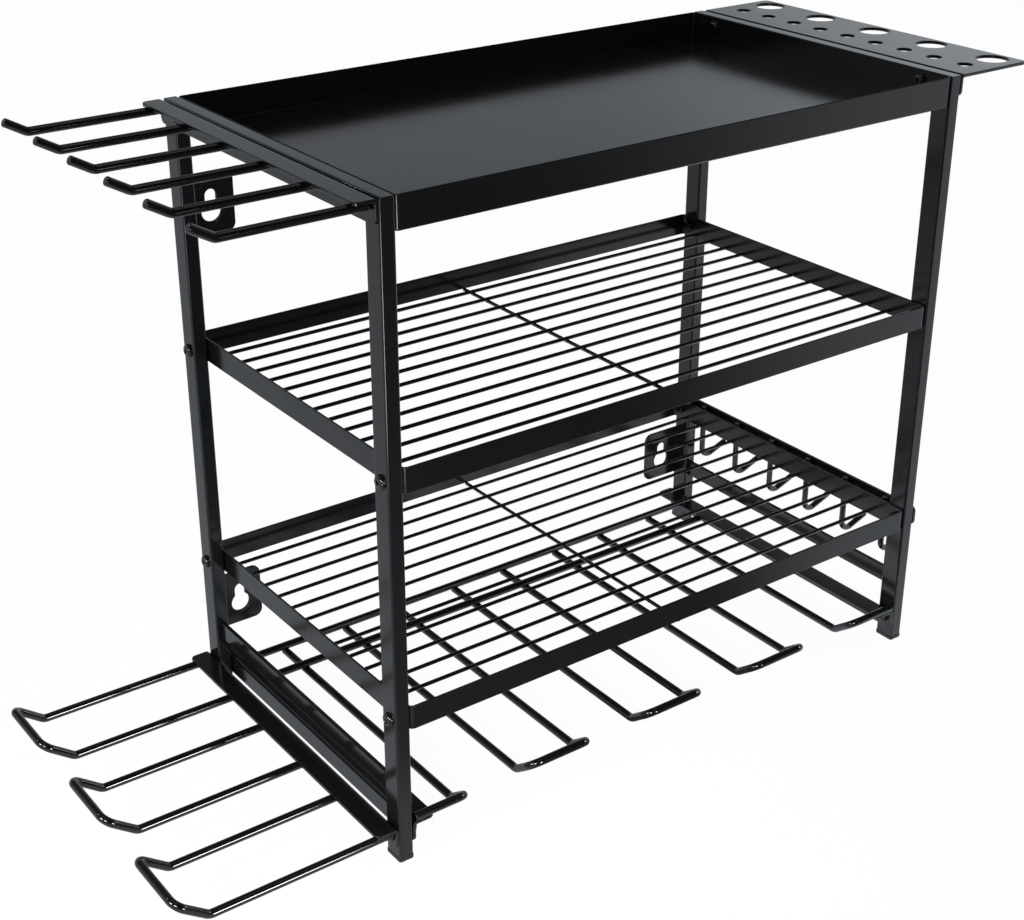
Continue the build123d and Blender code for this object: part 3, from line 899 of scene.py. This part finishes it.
# Painted reflection tone for mirrored rays: painted dark ahead, a painted glow near the organizer and a
# painted pool of light to the right.
painted_dark_ahead = smooth_step(floor_nodes, ahead, start=0.60, stop=0.90, first=0.54, last=0.05)
painted_glow_near_middle = smooth_step(floor_nodes, distance, start=0.30, stop=0.75, first=0.06, last=0.0)
painted_light_right = smooth_step(floor_nodes, beside, start=0.50, stop=0.90, first=0.0, last=0.40)
painted_reflection_tone = floor_nodes.blend(painted_dark_ahead + painted_glow_near_middle + painted_light_right, plain_black, cool_white)
tone = floor_nodes.blend(seen_floor, painted_reflection_tone, plain_white)
paper = floor_nodes.add("ShaderNodeBsdfDiffuse", {}, {"Color": paper_grey})
white = floor_nodes.add("ShaderNodeEmission", {}, {"Color": tone, "Strength": 1.0})
white_share = floor_white_share * seen_floor + floor_white_share * mirrored_floor
floor_mix = floor_nodes.add("ShaderNodeMixShader", {}, {0: white_share, 1: paper, 2: white})
floor_nodes.add("ShaderNodeOutputMaterial", {}, {"Surface": floor_mix})
floor_mesh.materials.append(floor_material)
floor = bpy.data.objects.new("floor", floor_mesh)
bpy.context.scene.collection.objects.link(floor)

# Light: a studio that is white behind the organizer, brighter to the right and darker overhead. One lamp
# hangs above and one stands behind at the left. Soft boxes with grids put bright lines on the low racks'
# bends and on the left front corner, and leave the wide faces dark.
diffuse_level = 0.8
world = bpy.data.worlds.new("studio")
bpy.context.scene.world = world
world.use_nodes = True
studio = Nodes(world.node_tree)
direction = studio.add("ShaderNodeTexCoord", {}, {}, "Generated")
upward = studio.add("ShaderNodeSeparateXYZ", {}, {0: direction}, "Z")
rightward = studio.add("ShaderNodeSeparateXYZ", {}, {0: direction}, "X")
backward = studio.add("ShaderNodeSeparateXYZ", {}, {0: direction}, "Y")
dark_ceiling = smooth_step(studio, upward, start=0.22, stop=0.60, first=1.0, last=0.22)
bright_right = smooth_step(studio, rightward, start=0.6, stop=0.8, first=0.44, last=0.95)
dark_front = smooth_step(studio, backward, start=-0.6, stop=0.2, first=0.12, last=1.0)
room = dark_ceiling * bright_right * dark_front
seen_room, mirrored_room = ray_kinds(studio)
strength = seen_room + mirrored_room * room + (1 - seen_room) * (1 - mirrored_room) * diffuse_level
room_tone = studio.blend(seen_room, cool_white, plain_white)
backdrop = studio.add("ShaderNodeBackground", {}, {"Color": room_tone, "Strength": strength})
studio.add("ShaderNodeOutputWorld", {}, {"Surface": backdrop})


def soft_box(name, place, aim, size, power, spread=180):
    """Upright area lamp of a width and height at a place, turned to face its aim and hidden from the
    camera. A honeycomb grid, given by the spread in degrees, keeps its light on what it is aimed at."""
    lamp = bpy.data.lights.new(name, "AREA")
    lamp.shape = "RECTANGLE"
    lamp.size, lamp.size_y = size
    lamp.energy = power
    lamp.spread = np.radians(spread)
    lamp_object = bpy.data.objects.new(name, lamp)
    lamp_object.visible_camera = False
    bpy.context.scene.collection.objects.link(lamp_object)
    away = np.asarray(place, float) - aim
    away /= np.linalg.norm(away)
    across = np.cross((0, 0, 1), away)
    across /= np.linalg.norm(across)
    turn = np.stack([across, np.cross(away, across), away], 1)
    lamp_object.matrix_world = Matrix.Translation(place) @ Matrix(turn.tolist()).to_4x4()


tray_aim = (0.0, -0.125, 0.22)
drill_tip_aim = (0.10, -0.27, -0.18)
side_loop_aim = (-0.25, -0.15, -0.18)
side_root_aim = (-0.17, -0.2, -0.18)
side_low_aim = (-0.25, -0.15, -0.19)
corner_aim = (-0.21, -0.25, 0.15)
soft_box("overhead", (0.1, -0.3, 1.7), tray_aim, size=(1.2, 1.2), power=1.5)
soft_box("right_strip", (1.225, -0.70, 0.42), drill_tip_aim, size=(0.31, 0.30), power=0.15, spread=32)
soft_box("left_strip", (-1.25, -0.30, 0.42), side_loop_aim, size=(0.45, 0.30), power=0.45, spread=34)
soft_box("left_front_strip", (-0.95, -1.00, 0.42), side_root_aim, size=(0.60, 0.30), power=0.60, spread=34)
soft_box("front_strip", (0.08, -1.36, -0.02), side_low_aim, size=(0.26, 0.34), power=0.40, spread=34)
soft_box("left_back_lamp", (-1.20, 0.90, 1.05), tray_aim, size=(0.2, 0.2), power=2.0)
soft_box("left_corner_lamp", (-0.60, -0.70, -0.08), corner_aim, size=(0.20, 0.20), power=0.05, spread=26)

# Camera: at the photograph's place, with its focal length and its centre off the middle of the frame.
frame_pixels = (1024, 920)
focal_pixels = 1742.2
centre_pixels = (507.98, 424.06)
eye = (-0.6738, -0.9826, 0.4948)
heading = np.radians(36.02)
down = np.radians(24.993)
camera_data = bpy.data.cameras.new("camera")
camera_data.sensor_width = 36.0
camera_data.lens = focal_pixels / frame_pixels[0] * camera_data.sensor_width
camera_data.shift_x = (frame_pixels[0] / 2 - centre_pixels[0]) / frame_pixels[0]
camera_data.shift_y = (centre_pixels[1] - frame_pixels[1] / 2) / frame_pixels[0]
camera = bpy.data.objects.new("camera", camera_data)
bpy.context.scene.collection.objects.link(camera)
turn = Matrix.Rotation(-heading, 4, "Z") @ Matrix.Rotation(np.pi / 2 - down, 4, "X")
camera.matrix_world = Matrix.Translation(eye) @ turn
bpy.context.scene.camera = camera
bpy.context.scene.view_settings.view_transform = "Standard"
